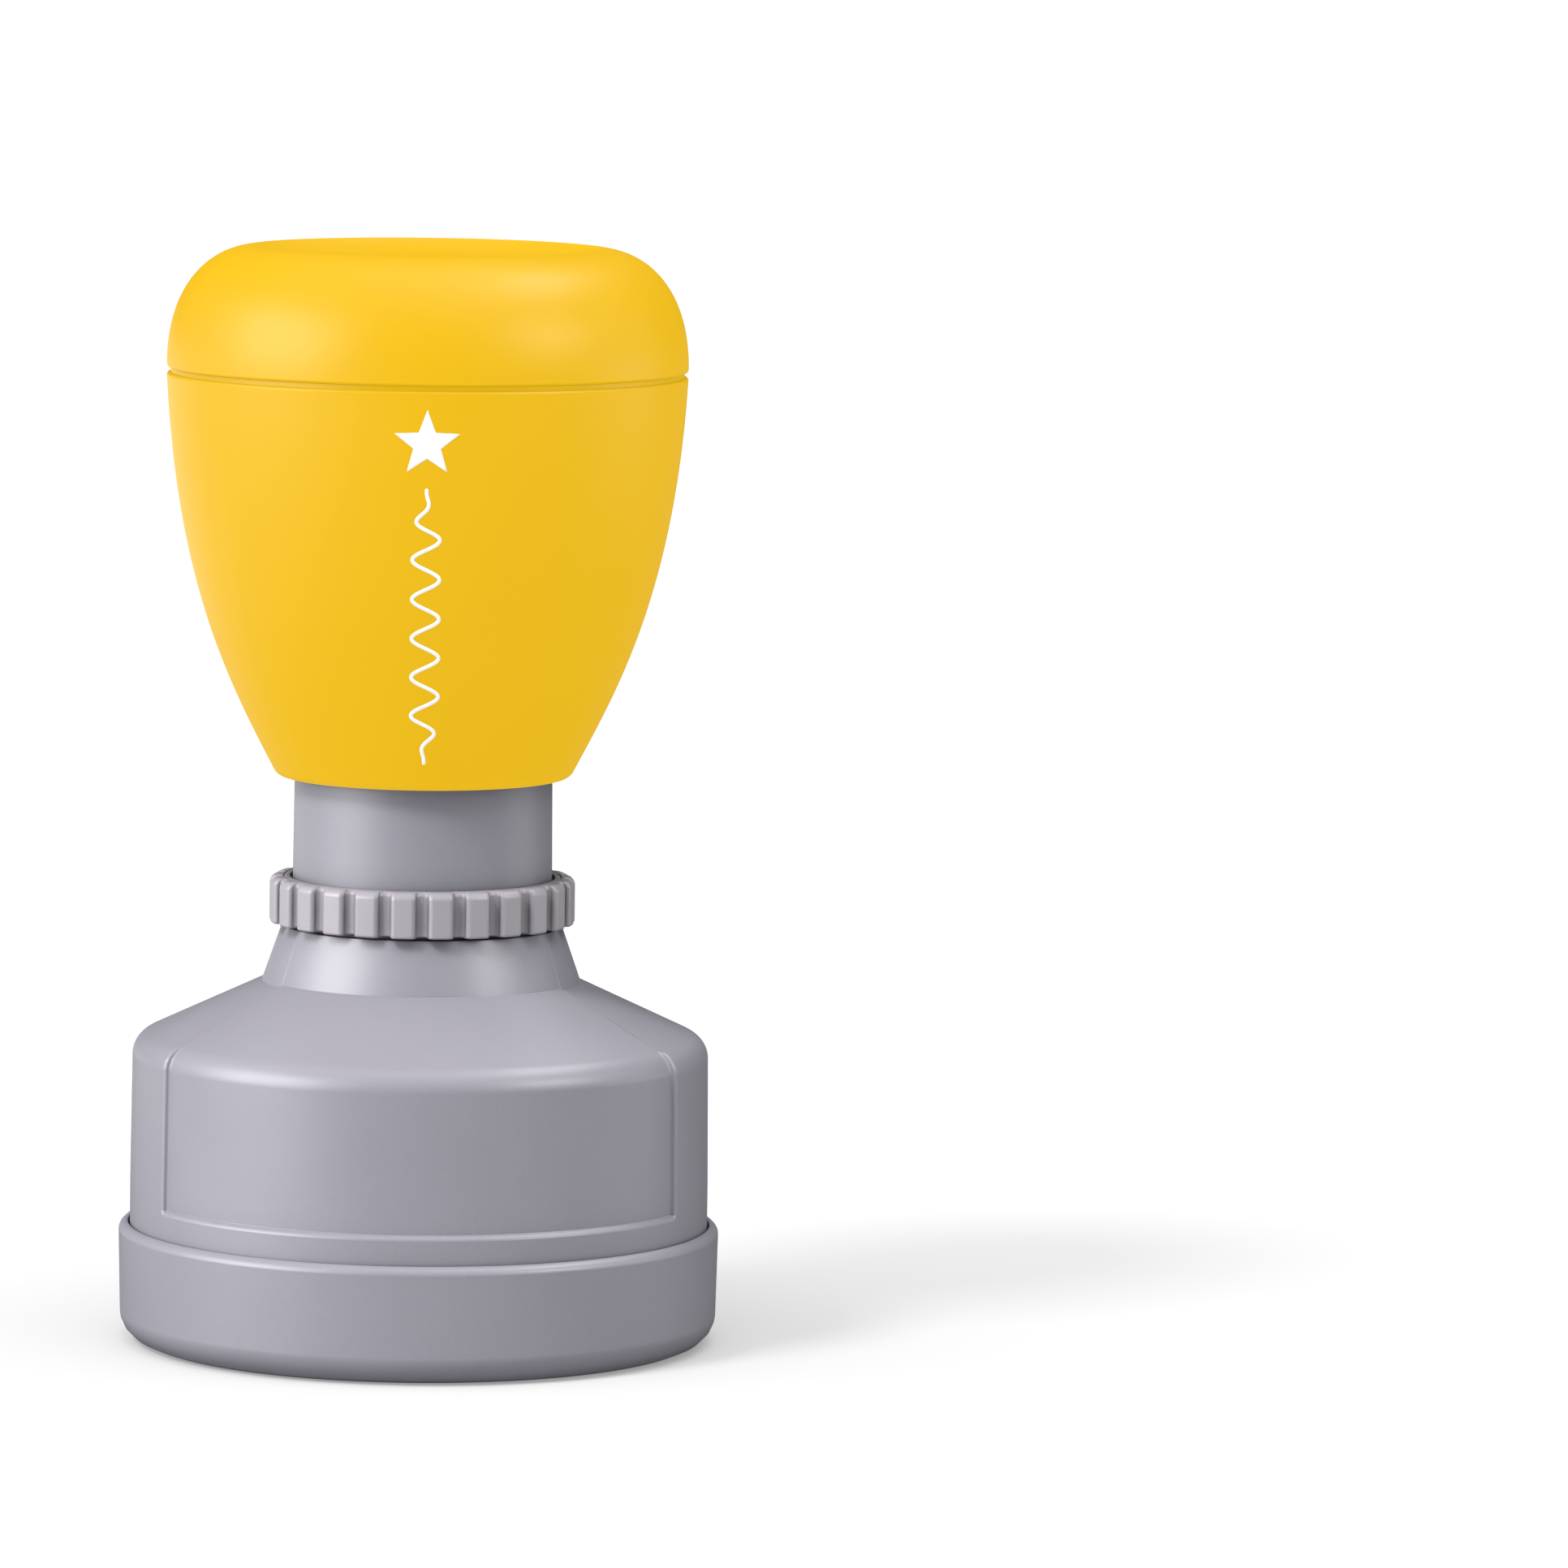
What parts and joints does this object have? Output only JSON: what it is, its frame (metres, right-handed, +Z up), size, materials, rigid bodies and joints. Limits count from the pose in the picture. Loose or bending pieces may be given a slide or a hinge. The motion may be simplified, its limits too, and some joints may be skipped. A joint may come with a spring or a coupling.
{
  "type": "rubber stamp",
  "caption": "Round pre-inked hand stamp: flared grip with a pull-off domed cap, knurled height ring on a grey neck, round housing and a pull-off dust cap.",
  "frame": {"origin": "centre of the dust cap's underside, on the stamp's axis", "axes": "+Z up along the stamp's axis towards the domed cap, -Y towards the front panel of the housing"},
  "size_m": [0.052, 0.052, 0.0947],
  "materials": {
    "grey_plastic": "satin moulded plastic with a very fine grain",
    "yellow_plastic": "smooth moulded plastic",
    "black_rubber": "matt",
    "steel": "bright drawn wire and stamped sheet",
    "ink_felt": "dense felt soaked with ink",
    "ink_foam": "microporous foam rubber"
  },
  "bodies": {
    "cap": {"dust_cap": "grey_plastic"},
    "housing": {"housing": "grey_plastic", "return_spring": "steel", "spring_washer": "steel"},
    "stop_washer": {"stop_washer": "grey_plastic"},
    "adjusting_ring": {"adjusting_ring": "grey_plastic"},
    "handle": {"plunger": "grey_plastic", "handle_grip": "yellow_plastic", "handle_screw_1": "steel", "handle_screw_2": "steel", "die_holder": "grey_plastic", "holder_screw_1": "steel", "holder_screw_2": "steel", "holder_screw_3": "steel", "ink_pad": "ink_felt", "foam_die": "ink_foam", "die_ring": "grey_plastic"},
    "handle_cap": {"handle_cap": "yellow_plastic"},
    "refill_plug": {"refill_plug": "black_rubber", "plug_seal": "black_rubber"}
  },
  "joints": [
    {"name": "uncap", "type": "slide", "parent": "cap", "child": "housing", "axis": [0, 0, 1], "range_m": [0, 0.025]},
    {"name": "press", "type": "slide", "parent": "housing", "child": "handle", "axis": [0, 0, -1], "range_m": [0, 0.006], "stiffness_N_per_m": 900, "springref_m": -0.004, "deforming": ["return_spring"]},
    {"name": "ring_lift", "type": "slide", "parent": "housing", "child": "stop_washer", "axis": [0, 0, 1], "range_m": [0, 0.002]},
    {"name": "ring_turn", "type": "hinge", "parent": "stop_washer", "child": "adjusting_ring", "pos_m": [0, 0, 0.0384], "axis": [0, 0, 1], "range_deg": [0, 360]},
    {"name": "pull_handle_cap", "type": "slide", "parent": "handle", "child": "handle_cap", "axis": [0, 0, 1], "range_m": [0, 0.015]},
    {"name": "pull_plug", "type": "slide", "parent": "handle", "child": "refill_plug", "axis": [0, 0, 1], "range_m": [0, 0.012]}
  ],
  "couplings": [
    {"joint": "ring_turn", "follows": "ring_lift", "rad_per_m": 3141.5}
  ]
}
